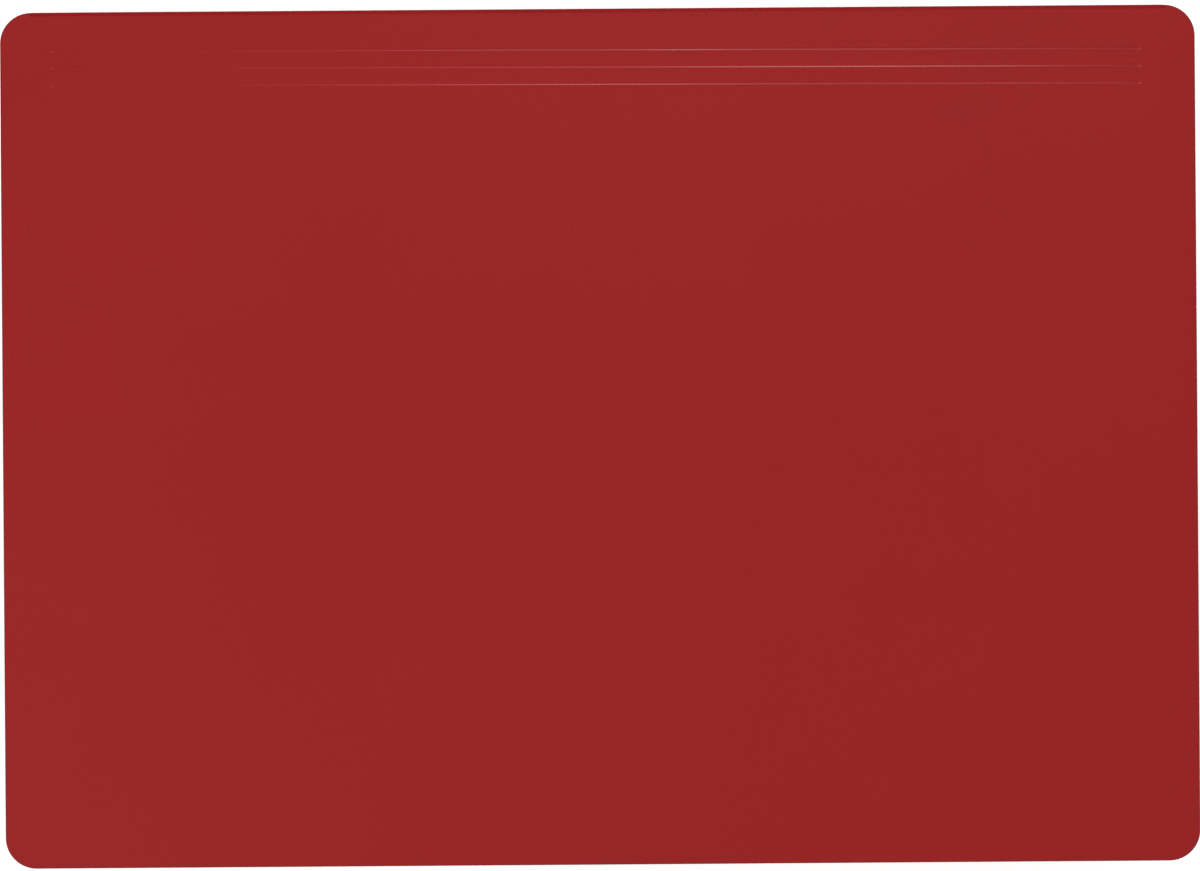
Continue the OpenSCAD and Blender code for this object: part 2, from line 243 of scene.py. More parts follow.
def spunProfile(bm, profile, steps):  # points of radius and height, spun full circle round z
    chain = [bm.verts.new((r, 0, z)) for r, z in profile]
    line = [bm.edges.new(pair) for pair in zip(chain, chain[1:])]
    bmesh.ops.spin(bm, geom=chain + line, cent=(0, 0, 0), axis=(0, 0, 1), angle=2 * math.pi, steps=steps,
                   use_merge=True)


def blockShell(low, high):  # a closed block between two corners
    low, high = Vector(low), Vector(high)
    bm = bmesh.new()
    bmesh.ops.create_cube(bm, size=1)
    bmesh.ops.scale(bm, vec=high - low, verts=bm.verts)
    bmesh.ops.translate(bm, vec=(low + high) / 2, verts=bm.verts)
    return bm


def roundBar(radius, length, at, across=True, segments=48):  # a closed bar along y, or upright
    bm = bmesh.new()
    turn = quarterX if across else Matrix.Identity(4)
    bmesh.ops.create_cone(bm, cap_ends=True, segments=segments, radius1=radius, radius2=radius, depth=length,
                          matrix=Matrix.Translation(at) @ turn)
    return bm


def oneShell(shells, bores=(), mergeDist=0.015):  # overlapping closed shells become one skin, with its bores cut
    holders = []
    for shell in (*shells, *bores):
        bmesh.ops.recalc_face_normals(shell, faces=shell.faces)
        mesh = bpy.data.meshes.new("shell")
        shell.to_mesh(mesh)
        shell.free()
        holders.append(bpy.data.objects.new("shell", mesh))
        scene.collection.objects.link(holders[-1])
    for i, other in enumerate(holders[1:], 1):
        join = holders[0].modifiers.new("join", "BOOLEAN")
        join.operation = "UNION" if i < len(shells) else "DIFFERENCE"
        join.solver = "MANIFOLD"
        join.object = other
    skin = bmesh.new()
    skin.from_object(holders[0], bpy.context.evaluated_depsgraph_get())
    for mesh in [holder.data for holder in holders]:
        bpy.data.meshes.remove(mesh)  # takes its holder along
    bmesh.ops.remove_doubles(skin, verts=skin.verts, dist=mergeDist)
    return skin


def finishPiece(name, bm, material, sharp=35, flatFaces=()):
    flat = set(flatFaces)  # broad flat faces keep a hard border, so that their shading stays even
    for face in bm.faces:
        face.smooth = True
    for edge in bm.edges:
        sides = edge.link_faces
        border = len(sides) == 2 and (sides[0] in flat) != (sides[1] in flat)
        edge.smooth = len(sides) == 2 and not border and edge.calc_face_angle() < math.radians(sharp)
    mesh = bpy.data.meshes.new(name)
    bm.to_mesh(mesh)
    bm.free()
    mesh.materials.append(material)
    piece = bpy.data.objects.new(name, mesh)
    scene.collection.objects.link(piece)
    return piece


caseSizes = {  # covers, spine and folds are one sheet
    "length": 320, "cornerR": 8.3, "cornerSteps": 16, "sheet": 1.6, "edgeRound": 0.35, "edgeSteps": 4,
    "web": 0.4, "foldR": 1.2, "foldSteps": 12, "foldHalf": 151.7, "webHalf": 151.6, "earDrop": 0.15,
    "edgeDarkBelow": 0.02, "edgeDarkClear": 2, "endDarken": 0.35, "foldShade": 0.8, "foldFade": 2,  # where the sheet is darker: speckled wear with painted shade along the cover edges and on the folds, and the spine's ends darker too
    "broad": 2e-5, "level": 0.9999,  # faces of this area in square metres, or this level, are shaded flat
}
scoreSizes = {
    "first": 10.86, "pitch": 4.61, "inset": 14.1, "shift": -0.45, "slant": 0.245,  # where the lines run
    "halfWidth": 0.45, "steps": 42, "cuts": 48,
    "nearY": 2, "nearX": 150, "nearZ": 0.5,  # vertices this near to a line are its own
    "dot": 0.7, "endPress": 1.45, "endFlare": 1.5, "dotShine": 0.4,  # the dots at the ends
    "wall": (-0.07, -0.03), "paleFrom": 0.35, "paleGain": 2.3, "farWall": 0.4,  # paler plastic on the walls: stretched by the die, and a painted highlight where a wall faces the rim lamp
    "shineFrom": 0.15, "shineGain": 2,
    "press": [  # how hard each score is pressed along its length, as (x, share) pairs
        [(-140, 0.2), (-108, 0.2), (-96, 0.36), (-72, 0.5), (-48, 0.66), (-24, 0.56), (0, 0.55), (24, 0.68),
         (48, 0.52), (97, 0.53), (120, 0.45), (140, 0.35)],
        [(-140, 0.2), (-108, 0.2), (-96, 0.36), (-72, 0.5), (-48, 0.58), (0, 0.55), (24, 0.62), (48, 0.72),
         (72, 0.78), (108, 0.82), (121, 0.6), (140, 0.35)],
        [(-140, 0.2), (-108, 0.2), (-96, 0.36), (-72, 0.6), (-48, 0.75), (0, 0.75), (24, 0.62), (48, 0.54),
         (72, 0.52), (97, 0.57), (120, 0.58), (140, 0.45)],
    ],
    "profile": [(0.04, -0.1), (0.13, -0.096), (0.2, -0.083), (0.27, -0.063), (0.34, -0.04), (0.41, -0.016),
                (0.47, 0.006), (0.53, 0.02), (0.58, 0.024), (0.64, 0.019), (0.71, 0.007), (0.78, 0.001), (0.9, 0.0)],
}


def placeOnSide(bm, front):  # from a top face at z = 0 to the top of the case, or turned over to its underside
    turn = Matrix.Translation((0, 0, caseTop * mm)) if front else Matrix.Scale(-1, 4, (0, 0, 1))
    bmesh.ops.transform(bm, matrix=turn @ Matrix.Scale(mm, 4), verts=bm.verts)
    bmesh.ops.recalc_face_normals(bm, faces=bm.faces)


def pressAt(x, points):
    for (x0, share0), (x1, share1) in zip(points, points[1:]):
        if x0 <= x <= x1:
            return share0 + (share1 - share0) * (x - x0) / (x1 - x0)
    return points[0][1]


def scoreVerts(bm, y):  # the vertices near one score's line, clear of the cover's edges and its inner face
    s = scoreSizes
    return [v for v in bm.verts
            if abs(v.co.y - y) < s["nearY"] and v.co.z > -s["nearZ"] and abs(v.co.x) < s["nearX"]]


def cutScore(bm, y, half, press):  # a spun dimple, pulled apart along x into a long score with round ends
    s = scoreSizes
    spunProfile(bm, s["profile"], s["steps"])
    reach = half - s["halfWidth"]
    dimple = scoreVerts(bm, 0)
    for side in (-1, 1):
        bmesh.ops.translate(bm, vec=(side * reach, y, 0), verts=[v for v in dimple if v.co.x * side > 0])
    straight = inOrder(e for v in dimple for e in v.link_edges if abs(span(e).x) > reach)
    bmesh.ops.subdivide_edges(bm, edges=straight, cuts=s["cuts"], use_grid_fill=True)
    inner = reach - s["dot"]
    for x in (-inner, inner):
        cutAt(bm, (x, 0, 0), (1, 0, 0), inOrder(g for v in scoreVerts(bm, y)
                                                for g in (v, *v.link_edges, *v.link_faces)))
    for side in (-1, 1):
        scaleAbout(bm, (side * reach, y, 0), (s["endFlare"], s["endFlare"], 1),
                   [v for v in scoreVerts(bm, y) if v.co.x * side > reach - hair])
    ends = s["endPress"]  # the die bites deeper at its two ends and leaves a small dot there
    points = [(-half - 1, ends), (-reach, ends), (-inner, press[0][1]), *press, (inner, press[-1][1]),
              (reach, ends), (half + 1, ends)]
    groove = scoreVerts(bm, y)
    pressed, paleAndHighlight = bm.verts.layers.float["pressed"], bm.verts.layers.float["paleAndHighlight"]
    low, high = s["wall"]
    for v in groove:
        share = pressAt(v.co.x, points)
        most = s["dotShine"] if share > 1 else 1.0
        if low < v.co.z < high:  # the wall further from the spine faces the rim lamp, so it gets the paler red in full as a painted highlight on top of the die's stretch; the other wall gets less
            stretch = min(most, max(0.0, (share - s["paleFrom"]) * s["paleGain"]))
            v[paleAndHighlight] = stretch if v.co.y < y else stretch * s["farWall"]
        v.co.z *= share
        v[pressed] = min(most, max(0.0, (share - s["shineFrom"]) * s["shineGain"]))
    rim = inOrder(e for v in groove for e in v.link_edges if e.is_boundary)
    floorEdges = [e for e in rim if e.verts[0].co.z < -hair]
    outerEdges = [e for e in rim if e not in floorEdges]
    for v in inOrder(v for e in outerEdges for v in e.verts):
        v[pressed] = 0.0
    bmesh.ops.contextual_create(bm, geom=floorEdges)
    return outerEdges


def coverPiece(name, front):
    s, score = caseSizes, scoreSizes
    bm = bmesh.new()
    bmesh.ops.create_grid(bm, x_segments=1, y_segments=1, size=0.5)
    earY = spineY - s["earDrop"]  # the corners beside the fold end just short of its outside
    bmesh.ops.scale(bm, vec=(s["length"], earY - freeY, 1), verts=bm.verts)
    bmesh.ops.translate(bm, vec=(0, (earY + freeY) / 2, 0), verts=bm.verts)
    bmesh.ops.bevel(bm, geom=bm.verts[:], offset=s["cornerR"], offset_type="OFFSET", segments=s["cornerSteps"],
                    profile=0.5, affect="VERTICES", material=-1)
    # the strip between the corners goes, to make room for the fold
    foldLine = spineY - s["foldR"]
    cutAt(bm, (0, foldLine, 0), (0, 1, 0))
    for x in (-s["foldHalf"], s["foldHalf"]):
        strip = [f for f in bm.faces if f.calc_center_median().y > foldLine]
        cutAt(bm, (x, 0, 0), (1, 0, 0), inOrder(g for f in strip for g in (*f.verts, *f.edges, f)))
    middle = [f for f in bm.faces
              if f.calc_center_median().y > foldLine and abs(f.calc_center_median().x) < s["foldHalf"]]
    bmesh.ops.delete(bm, geom=middle, context="FACES")
    bmesh.ops.dissolve_edges(bm, edges=[e for e in bm.edges if len(e.link_faces) == 2], use_verts=False)
    lower = vertsIn(bmesh.ops.extrude_face_region(bm, geom=bm.faces[:], use_keep_orig=True)["geom"])
    bmesh.ops.translate(bm, vec=(0, 0, -s["sheet"]), verts=lower)
    bmesh.ops.recalc_face_normals(bm, faces=bm.faces)
    foldEdges = [e for e in bm.edges if all(abs(v.co.y - foldLine) < hair and abs(v.co.x) < s["foldHalf"] + hair
                                            for v in e.verts)]
    foldInner = [e for e in foldEdges if all(v.co.z < -s["sheet"] / 2 for v in e.verts)]
    outline = [e for e in bm.edges if e not in foldEdges and abs(span(e).z) < hair]
    roundEdges(bm, outline, s["edgeRound"], s["edgeSteps"], clamp=True)
    roundEdges(bm, [e for e in foldInner if e.is_valid], s["sheet"] - s["web"], 1)
    bm.verts.layers.float.new("pressed")
    bm.verts.layers.float.new("paleAndHighlight")
    wearAndShade = bm.verts.layers.float.new("wearAndShade")
    for v in bm.verts:  # the cover's edge faces, darker as speckled wear and as painted shade that outlines the cover
        v[wearAndShade] = 1.0 if -s["sheet"] < v.co.z < -s["edgeDarkBelow"] and v.co.y < foldLine - s["edgeDarkClear"] else 0.0
    # the outer face is filled again round its scores
    top = max(bm.faces, key=lambda f: f.calc_area() * f.normal.z)
    loops = list(top.edges)
    bmesh.ops.delete(bm, geom=[top], context="FACES_ONLY")
    lineY = [spineY - score["first"] - i * score["pitch"] for i in range(len(score["press"]))]
    for y, press in zip(lineY, score["press"]):
        loops += cutScore(bm, y, s["length"] / 2 - score["inset"], press)
    bmesh.ops.triangle_fill(bm, use_beauty=True, use_dissolve=False, edges=loops, normal=(0, 0, 1))
    slant = Matrix.Rotation(-math.radians(score["slant"]), 3, "Z")  # the scores run a little askew to the edge
    for y in lineY:
        groove = scoreVerts(bm, y)
        bmesh.ops.rotate(bm, cent=(0, y, 0), matrix=slant, verts=groove)
        bmesh.ops.translate(bm, vec=(score["shift"], 0, 0), verts=groove)
    placeOnSide(bm, front)
    flat = [f for f in bm.faces if f.calc_area() > s["broad"] or abs(f.normal.z) > s["level"]]
    return finishPiece(name, bm, redSheet, flatFaces=flat)


frontCover = coverPiece("frontCover", True)
backCover = coverPiece("backCover", False)
for piece, node in ((frontCover, "front_cover"), (backCover, "back_cover")):
    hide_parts(node)
    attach(piece, node)
print("covers made")


def placeOnSpine(bm):  # x along the spine, y across it, z away from its inner face
    move = Matrix.Translation((0, (spineY - caseSizes["sheet"]) * mm, caseTop / 2 * mm))
    bmesh.ops.transform(bm, matrix=move @ quarterX @ Matrix.Scale(mm, 4), verts=bm.verts)
    bmesh.ops.recalc_face_normals(bm, faces=bm.faces)


rivetSizes = {
    "places": [-80, 80], "steps": 64, "boreR": 2.05,
    "profile": [(0, -2.5), (1.2, -2.46), (2.4, -2.33), (3.4, -2.1), (4.1, -1.85), (4.42, -1.69), (4.5, -1.6),
                (2.0, -1.6), (2.0, 6.4), (3.1, 6.5), (3.25, 6.66), (3.2, 6.9), (2.9, 7.12), (2.4, 7.2), (1.9, 7.12),
                (1.5, 6.85), (1.25, 6.3), (1.15, 5.2), (0, 5.1)],
}


def rivetPiece(name, x):
    bm = bmesh.new()
    spunProfile(bm, rivetSizes["profile"], rivetSizes["steps"])
    bmesh.ops.remove_doubles(bm, verts=bm.verts, dist=hair)
    bmesh.ops.translate(bm, vec=(x, 0, 0), verts=bm.verts)
    placeOnSpine(bm)
    return finishPiece(name, bm, nickelPlate, sharp=45)


for name, x in zip(("bottom", "top"), rivetSizes["places"]):
    rivet = rivetPiece(name + "Rivet", x)
    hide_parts(name + "_rivet")
    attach(rivet, "spine")
print("rivets made")


def spinePiece():
    s = caseSizes
    bm = blockShell((-s["webHalf"], spineY - s["sheet"], s["foldR"]), (s["webHalf"], spineY, caseTop - s["foldR"]))
    inner = [e for e in bm.edges
             if abs(span(e).x) > hair and all(v.co.y < spineY - s["sheet"] / 2 for v in e.verts)]
    roundEdges(bm, inner, s["sheet"] - s["web"], 1)
    upright = [e for e in bm.edges if abs(span(e).z) > caseTop / 2]
    roundEdges(bm, upright, s["edgeRound"], s["edgeSteps"])
    bores = [roundBar(rivetSizes["boreR"], s["sheet"] * 2, (x, spineY - s["sheet"] / 2, caseTop / 2))
             for x in rivetSizes["places"]]
    bm = oneShell([bm], bores)
    wearAndShade = bm.verts.layers.float.new("wearAndShade")
    # the spine's two ends are a little darker
    for v in bm.verts:
        v[wearAndShade] = s["endDarken"] if abs(v.co.x) > s["webHalf"] - s["edgeRound"] + hair else 0.0
    bmesh.ops.scale(bm, vec=(mm, mm, mm), verts=bm.verts)
    bmesh.ops.recalc_face_normals(bm, faces=bm.faces)
    return finishPiece("spinePanel", bm, redSheet, sharp=25)


def foldPiece(name, front):  # the thin web between a cover and the spine, spun round its fold
    s = caseSizes
    bm = bmesh.new()
    bmesh.ops.create_grid(bm, x_segments=1, y_segments=1, size=0.5)
    bmesh.ops.rotate(bm, cent=(0, 0, 0), matrix=quarterX.to_3x3(), verts=bm.verts)
    bmesh.ops.scale(bm, vec=(2 * s["webHalf"], 1, s["web"]), verts=bm.verts)
    bmesh.ops.translate(bm, vec=(0, spineY - s["foldR"], -s["web"] / 2), verts=bm.verts)
    bmesh.ops.spin(bm, geom=bm.verts[:] + bm.edges[:] + bm.faces[:], cent=(0, spineY - s["foldR"], -s["foldR"]),
                   axis=(1, 0, 0), angle=-math.pi / 2, steps=s["foldSteps"])
    wearAndShade = bm.verts.layers.float.new("wearAndShade")
    for v in bm.verts:  # painted shade, darker towards the spine, where the rounding faces the rim lamp
        v[wearAndShade] = max(0.0, (v.co.y - spineY) / s["foldR"] * s["foldFade"] + s["foldShade"])
    placeOnSide(bm, front)
    return finishPiece(name, bm, redFold)


spinePanel = spinePiece()
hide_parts("spine_panel")
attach(spinePanel, "spine")
halfWeb = caseSizes["web"] / 2
for name, node, cover, z, way in (("frontFold", "front_hinge_web", "front_cover", caseTop, -1),
                                  ("backFold", "back_hinge_web", "back_cover", 0, 1)):
    fold = foldPiece(name, way < 0)
    coverEnd = (0, (spineY - caseSizes["foldR"]) * mm, (z + way * halfWeb) * mm)
    spineEnd = (0, (spineY - halfWeb) * mm, (z + way * caseSizes["foldR"]) * mm)
    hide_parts(node)
    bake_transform(fold, cover, "spine", start=coverEnd, end=spineEnd)
print("spine and folds made")

ringSizes = {
    "places": [-120, -40, 40, 120], "bore": 20, "wire": 2.8, "bendR": 2, "swing": 14, "gap": 0.1,
    "around": 24, "bendSteps": 10, "loopSteps": 56, "chamfer": 0.22, "chamferDrop": 0.02,
    "nub": 1.0, "nubR": 0.7, "nubRoot": 0.04, "nubTaper": 0.75, "seatShare": 1.1,  # tip of a front and a back half
    "blade": 0.8, "tenonR": 1.0, "stakeR": 1.4, "stakeH": 0.4, "footStep": 0.01,
}
housingSizes = {
    "width": 19, "half": 141, "sheet": 0.8, "lift": 1.65, "skirt": 1.3, "rise": 2.0, "archSteps": 15,
    "bead": 0.7, "beadGap": 0.05, "curlSweep": 114, "curlSteps": 9,
    "footGap": 0.2, "slotSide": 0.5, "slotFloor": 0.65,
    "earX": 134, "earW": 5.6, "earSheet": 0.8, "earBelow": 2.0, "earRound": 0.8, "earSteps": 6,
    "soft": 0.05, "softSteps": 2, "softAngle": 50,
}
# the section that rings and housing share, as in the solid parts: W across the spine, N away from its inner face
halfW = housingSizes["width"] / 2
curlOut = housingSizes["bead"] + housingSizes["beadGap"] + housingSizes["sheet"]
pivotW = halfW - curlOut
pivotN = housingSizes["lift"] + curlOut
springN = pivotN + housingSizes["skirt"]
crownN = springN + housingSizes["rise"]
archR = (halfW ** 2 + housingSizes["rise"] ** 2) / (2 * housingSizes["rise"])
archN = crownN - archR
tilt = math.radians(ringSizes["swing"] / 2)
wireR = ringSizes["wire"] / 2
ringR = ringSizes["bore"] / 2 + wireR
footW = pivotW - housingSizes["bead"] - housingSizes["footGap"] - wireR
bladeN = pivotN - (pivotW - footW) * math.tan(tilt)
footN = bladeN + ringSizes["blade"] / 2 / math.cos(tilt)
bendN = footN - ringSizes["wire"] * math.tan(tilt)
bendW = footW + ringSizes["bendR"]
bendReach = ringR + ringSizes["bendR"]
ringN = bendN + math.sqrt(bendReach ** 2 - bendW ** 2)
joinAngle = math.acos(bendW / bendReach)


def ringPiece(name, x, front):
    r = ringSizes
    bm = bmesh.new()
    bmesh.ops.create_circle(bm, cap_ends=False, segments=r["around"], radius=wireR)
    bmesh.ops.translate(bm, vec=(x, footW, bendN), verts=bm.verts)
    out = bmesh.ops.spin(bm, geom=bm.verts[:] + bm.edges[:], cent=(x, bendW, bendN), axis=(1, 0, 0),
                         angle=-joinAngle, steps=r["bendSteps"])
    sweep = math.pi / 2 + joinAngle - math.asin(r["gap"] / 2 / ringR)
    out = bmesh.ops.spin(bm, geom=out["geom_last"], cent=(x, 0, ringN), axis=(1, 0, 0), angle=sweep,
                         steps=r["loopSteps"])
    tip = bmesh.ops.contextual_create(bm, geom=edgesIn(out["geom_last"]))["faces"][0]
    bmesh.ops.recalc_face_normals(bm, faces=bm.faces)
    bmesh.ops.inset_individual(bm, faces=[tip], thickness=r["chamfer"], depth=0.0)
    bmesh.ops.translate(bm, vec=(0, -r["chamferDrop"], 0), verts=tip.verts)
    for step in (wireR - r["chamfer"] - r["nubR"], r["nubRoot"]):
        bmesh.ops.inset_individual(bm, faces=[tip], thickness=step, depth=0.0)
    length = -r["nub"] if front else r["nub"] * r["seatShare"]  # a nub on the front half, its seat in the back half
    bmesh.ops.translate(bm, vec=(0, length, 0), verts=tip.verts)
    scaleAbout(bm, tip.calc_center_median(), (r["nubTaper"], 1, r["nubTaper"]), tip.verts)
    foot = bmesh.ops.contextual_create(bm, geom=[e for e in bm.edges if e.is_boundary])["faces"][0]
    bmesh.ops.inset_individual(bm, faces=[foot], thickness=wireR - r["tenonR"], depth=0.0)
    bmesh.ops.rotate(bm, cent=foot.calc_center_median(), matrix=Matrix.Rotation(tilt, 3, "X"), verts=foot.verts)
    down = Vector((0, math.sin(tilt), -math.cos(tilt)))  # square to the blade
    toUnderside = bendN - bladeN + r["blade"] / 2
    for grow, drop in ((1, toUnderside), (r["stakeR"] / r["tenonR"], 0), (1, r["stakeH"])):  # tenon and staked head
        bmesh.ops.inset_individual(bm, faces=[foot], thickness=r["footStep"], depth=0.0)
        scaleAbout(bm, foot.calc_center_median(), (grow, grow, grow), foot.verts)
        bmesh.ops.translate(bm, vec=down * drop, verts=foot.verts)
    if not front:
        bmesh.ops.scale(bm, vec=(1, -1, 1), verts=bm.verts)
    placeOnSpine(bm)
    return finishPiece(name, bm, nickelPlate, sharp=40)


for side, front in (("front", True), ("back", False)):
    for i, x in enumerate(ringSizes["places"], 1):
        ring = ringPiece(f"{side}Ring{i}", x, front)
        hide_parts(f"{side}_ring_half_{i}")
        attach(ring, f"{side}_rings")
print("rings made")

leverSizes = {
    "pinX": 137, "pinN": 3.4, "pinBoreR": 1.05, "width": 10.8, "hubR": 2.0, "lipR": 1.1, "around": 36,
    "bendR": 18, "arc": 50, "arcSteps": 26, "sheet": 1.4, "padW": 15, "padCuts": 11,
    "neckW": 9.0, "neckH": 6.8, "neckSoft": 0.55, "heelX": 1.6,
    "tongueLen": 5.6, "tongueW": 3, "tongueLow": 2.9, "tongueT": 0.8,
    "rimAngle": 60, "rimRound": 0.25, "rollRound": 0.35, "rollSteps": 3, "blockRound": 0.15, "softSteps": 2,
}


def leverPiece(name, end):  # shaped with its pin at the origin and +x outwards
    s = leverSizes
    bm = bmesh.new()
    # handle: a line across the lever, spun outwards from the hub
    ends = [bm.verts.new((s["sheet"] / 2, side * s["padW"] / 2, 0)) for side in (-1, 1)]
    bmesh.ops.subdivide_edges(bm, edges=[bm.edges.new(ends)], cuts=s["padCuts"])
    arc = math.radians(s["arc"])
    bmesh.ops.spin(bm, geom=bm.verts[:] + bm.edges[:], cent=(s["bendR"], 0, 0), axis=(0, 1, 0), angle=arc,
                   steps=s["arcSteps"])
    for v in bm.verts:
        spread = 1 / (1 + math.exp((s["neckH"] - v.co.z) / s["neckSoft"]))  # narrow neck, then the thumb pad
        v.co.y *= (s["neckW"] + (s["padW"] - s["neckW"]) * spread) / s["padW"]
    bmesh.ops.recalc_face_normals(bm, faces=bm.faces)
    bmesh.ops.solidify(bm, geom=bm.faces[:], thickness=-s["sheet"])
    rims = [e for e in bm.edges if len(e.link_faces) == 2 and e.calc_face_angle() > math.radians(s["rimAngle"])]
    roundEdges(bm, rims, s["rimRound"], s["softSteps"])
    shells = [bm]
    lipAt = (s["bendR"] * (1 - math.cos(arc)), 0, s["bendR"] * math.sin(arc))
    for radius, width, at in ((s["hubR"], s["width"], (0, 0, 0)), (s["lipR"], s["padW"], lipAt)):
        roll = roundBar(radius, width, at, segments=s["around"])
        roundEdges(roll, [e for e in roll.edges if abs(span(e).y) < hair], s["rollRound"], s["rollSteps"])
        shells.append(roll)
    halfTongue = s["tongueW"] / 2
    for x, top in ((-s["tongueLen"], s["tongueT"] - s["tongueLow"]), (-s["heelX"], 0)):  # tongue, then its heel
        block = blockShell((x, -halfTongue, -s["tongueLow"]), (s["heelX"], halfTongue, top))
        roundEdges(block, block.edges[:], s["blockRound"], s["softSteps"])
        shells.append(block)
    bm = oneShell(shells, [roundBar(s["pinBoreR"], 2 * s["width"], (0, 0, 0))])
    bmesh.ops.translate(bm, vec=(s["pinX"], 0, s["pinN"]), verts=bm.verts)
    if end < 0:
        bmesh.ops.rotate(bm, cent=(0, 0, 0), matrix=Matrix.Rotation(math.pi, 3, "Z"), verts=bm.verts)
    placeOnSpine(bm)
    return finishPiece(name, bm, nickelPlate, sharp=40)


for name, end in (("top", 1), ("bottom", -1)):
    lever = leverPiece(name + "Lever", end)
    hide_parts(name + "_lever")
    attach(lever, name + "_lever")
print("levers made")


def housingPiece():
    h, pins, rivets = housingSizes, leverSizes, rivetSizes
    # half of the section, spun and mirrored, then drawn out along the spine
    bm = bmesh.new()
    crown = bm.verts.new((0, 0, crownN))
    out = bmesh.ops.spin(bm, geom=[crown], cent=(0, 0, archN), axis=(1, 0, 0), angle=-math.asin(halfW / archR),
                         steps=h["archSteps"])
    skirt = bmesh.ops.extrude_vert_indiv(bm, verts=vertsIn(out["geom_last"]))["verts"]
    for v in skirt:
        v.co.z = pivotN
    bmesh.ops.spin(bm, geom=skirt, cent=(0, pivotW, pivotN), axis=(1, 0, 0), angle=-math.radians(h["curlSweep"]),
                   steps=h["curlSteps"])
    bmesh.ops.mirror(bm, geom=bm.verts[:] + bm.edges[:], matrix=Matrix.Identity(4), merge_dist=hair, axis="Y")
    bmesh.ops.remove_doubles(bm, verts=bm.verts, dist=hair)
    slotHalf = wireR + h["slotSide"]
    slotEnds = [x + side * slotHalf for x in ringSizes["places"] for side in (-1, 1)]
    stations = [-h["half"], -h["earX"], *slotEnds, h["earX"], h["half"]]
    bmesh.ops.translate(bm, vec=(stations[0], 0, 0), verts=bm.verts)
    line = bm.edges[:]
    for a, b in zip(stations, stations[1:]):
        out = bmesh.ops.extrude_edge_only(bm, edges=line)["geom"]
        bmesh.ops.translate(bm, vec=(b - a, 0, 0), verts=vertsIn(out))
        line = [e for e in edgesIn(out) if abs(span(e).x) < hair]
    # slots for the rings and room for the levers
    slotW = footW - slotHalf
    slotN = pivotN + h["slotFloor"]
    for w in (slotW, -slotW, h["earW"], -h["earW"]):
        cutAt(bm, (0, w, 0), (0, 1, 0))
    cutAt(bm, (0, 0, slotN), (0, 0, 1))
    gone = []
    for f in bm.faces:
        c = f.calc_center_median()
        inSlot = any(abs(c.x - x) < slotHalf for x in ringSizes["places"]) and abs(c.y) > slotW and c.z > slotN
        atLever = abs(c.x) > h["earX"] and abs(c.y) < h["earW"] and c.z > pivotN
        if inSlot or atLever:
            gone.append(f)
    bmesh.ops.delete(bm, geom=gone, context="FACES")
    bmesh.ops.recalc_face_normals(bm, faces=bm.faces)
    if sum(f.normal.z for f in bm.faces if f.calc_center_median().z > springN) < 0:
        bmesh.ops.reverse_faces(bm, faces=bm.faces)
    bmesh.ops.solidify(bm, geom=bm.faces[:], thickness=h["sheet"])
    # ears that hold the lever pins
    shells = [bm]
    low = pins["pinN"] - h["earBelow"]
    high = archN + math.sqrt((archR - h["sheet"] / 2) ** 2 - (h["earW"] + h["earSheet"]) ** 2)
    for x in (-h["half"], h["earX"]):
        for w in (-h["earW"] - h["earSheet"], h["earW"]):
            ear = blockShell((x, w, low), (x + h["half"] - h["earX"], w + h["earSheet"], high))
            corners = [e for e in ear.edges if abs(span(e).y) > hair and e.verts[0].co.z < low + hair]
            roundEdges(ear, corners, h["earRound"], h["earSteps"])
            shells.append(ear)
    across = 2 * (h["earW"] + h["earSheet"]) + h["earSheet"]  # through both ears, short of the curled edges
    bores = [roundBar(pins["pinBoreR"], across, (end * pins["pinX"], 0, pins["pinN"])) for end in (-1, 1)]
    bores += [roundBar(rivets["boreR"], h["rise"] * 2, (x, 0, crownN), across=False) for x in rivets["places"]]
    bm = oneShell(shells, bores)
    placeOnSpine(bm)
    piece = finishPiece("ringHousing", bm, nickelPlate, sharp=40)
    soft = piece.modifiers.new("softEdges", "BEVEL")
    soft.width = h["soft"] * mm
    soft.segments = h["softSteps"]
    soft.limit_method = "ANGLE"
    soft.angle_limit = math.radians(h["softAngle"])
    return piece


housing = housingPiece()
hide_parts("ring_housing")
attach(housing, "spine")
for node in ("front_blade", "back_blade", "top_lever_pin", "bottom_lever_pin", "top_standoff", "bottom_standoff"):
    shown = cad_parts[node]
    shown.data.materials.clear()
    shown.data.materials.append(rolledSteel)
print("housing made")

stageSizes = {"floor": 6.0, "below": -0.0001, "white": 0.86, "rough": 0.9, "glow": 0.53}


def seenDirectly(tree):  # 1 for the camera, for reflections and through clear things
    rays = addNode(tree, "ShaderNodeLightPath").outputs
    total = rays["Is Camera Ray"]
    for ray in ("Is Glossy Ray", "Is Transmission Ray"):
        total = mathOf(tree, "MAXIMUM", total, rays[ray])
    return total


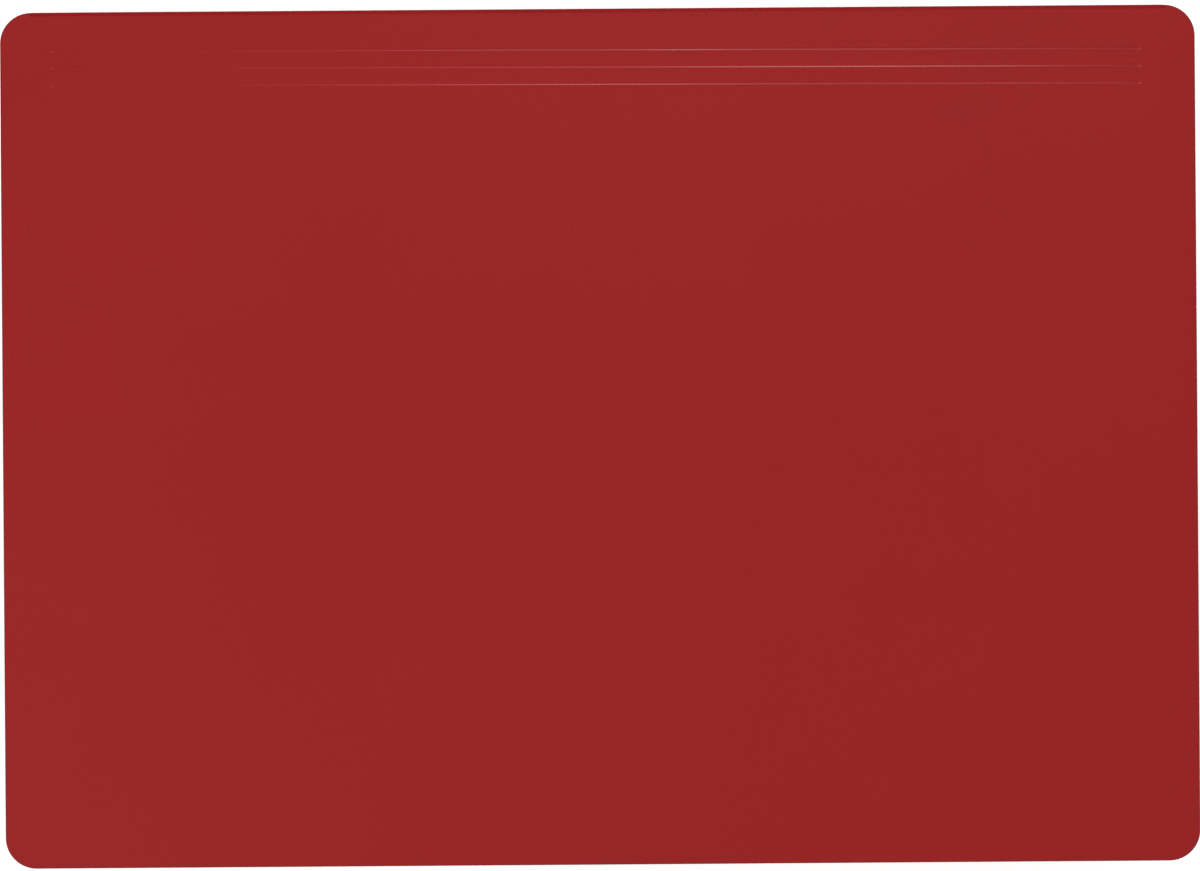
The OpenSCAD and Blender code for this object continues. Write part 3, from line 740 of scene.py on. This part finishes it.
def whiteFloor():
    bm = bmesh.new()
    bmesh.ops.create_grid(bm, x_segments=1, y_segments=1, size=stageSizes["floor"] / 2)
    bmesh.ops.translate(bm, vec=(0, 0, stageSizes["below"]), verts=bm.verts)
    mesh = bpy.data.meshes.new("floor")
    bm.to_mesh(mesh)
    bm.free()
    floor = bpy.data.objects.new("floor", mesh)
    scene.collection.objects.link(floor)
    mat, tree, shader = newMaterial("whiteFloor")
    shader.inputs["Base Color"].default_value = (*[stageSizes["white"]] * 3, 1)
    shader.inputs["Roughness"].default_value = stageSizes["rough"]
    shader.inputs["Emission Color"].default_value = (1, 1, 1, 1)
    glow = toRange(tree, seenDirectly(tree), 0.0, stageSizes["glow"])  # white where it is seen, and shadows stay
    tree.links.new(glow, shader.inputs["Emission Strength"])
    mesh.materials.append(mat)


whiteFloor()

lightSizes = {
    "world": 0.55, "aim": (0, 0.06, 0.03),
    "lamps": [
        {"name": "leftBox", "at": (-0.72, -0.6, 0.66), "size": (0.84, 0.84), "watts": 3.9},
        {"name": "rightBox", "at": (0.72, -0.6, 0.66), "size": (0.84, 0.84), "watts": 0.5},
        {"name": "rimLamp", "at": (0.11, 0.76, 0.95), "size": (0.26, 0.14), "watts": 3.5},
    ],
}
world = bpy.data.worlds.new("studio")
scene.world = world
world.use_nodes = True
tree = world.node_tree
sky = tree.nodes["Background"]
sky.inputs["Color"].default_value = (1, 1, 1, 1)
seenWhite = toRange(tree, seenDirectly(tree), lightSizes["world"], 1.0)  # white where it is seen, dimmer as a light
tree.links.new(seenWhite, sky.inputs["Strength"])
for lamp in lightSizes["lamps"]:
    data = bpy.data.lights.new(lamp["name"], "AREA")
    data.shape = "RECTANGLE"
    data.size, data.size_y = lamp["size"]
    data.energy = lamp["watts"]
    light = bpy.data.objects.new(lamp["name"], data)
    light.location = lamp["at"]
    aim = Vector(lightSizes["aim"]) - Vector(lamp["at"])
    light.rotation_euler = aim.to_track_quat("-Z", "Y").to_euler()
    scene.collection.objects.link(light)

cameraSizes = {
    "lens": 85.0, "sensor": 36.0, "frameWidth": 0.32127, "roll": -0.415,
    "lift": 0.00025, "side": -0.00005,  # from above the middle of the cover
}
camera = bpy.data.cameras.new("photoCamera")
camera.lens = cameraSizes["lens"]
camera.sensor_width = cameraSizes["sensor"]
cameraObject = bpy.data.objects.new("photoCamera", camera)
distance = cameraSizes["lens"] / cameraSizes["sensor"] * cameraSizes["frameWidth"]
middleY = (spineY + freeY) / 2 * mm
cameraObject.location = (cameraSizes["side"], middleY + cameraSizes["lift"], caseTop * mm + distance)
cameraObject.rotation_euler = (0, 0, math.radians(cameraSizes["roll"]))
scene.collection.objects.link(cameraObject)
scene.camera = cameraObject
print("stage, light and camera set")
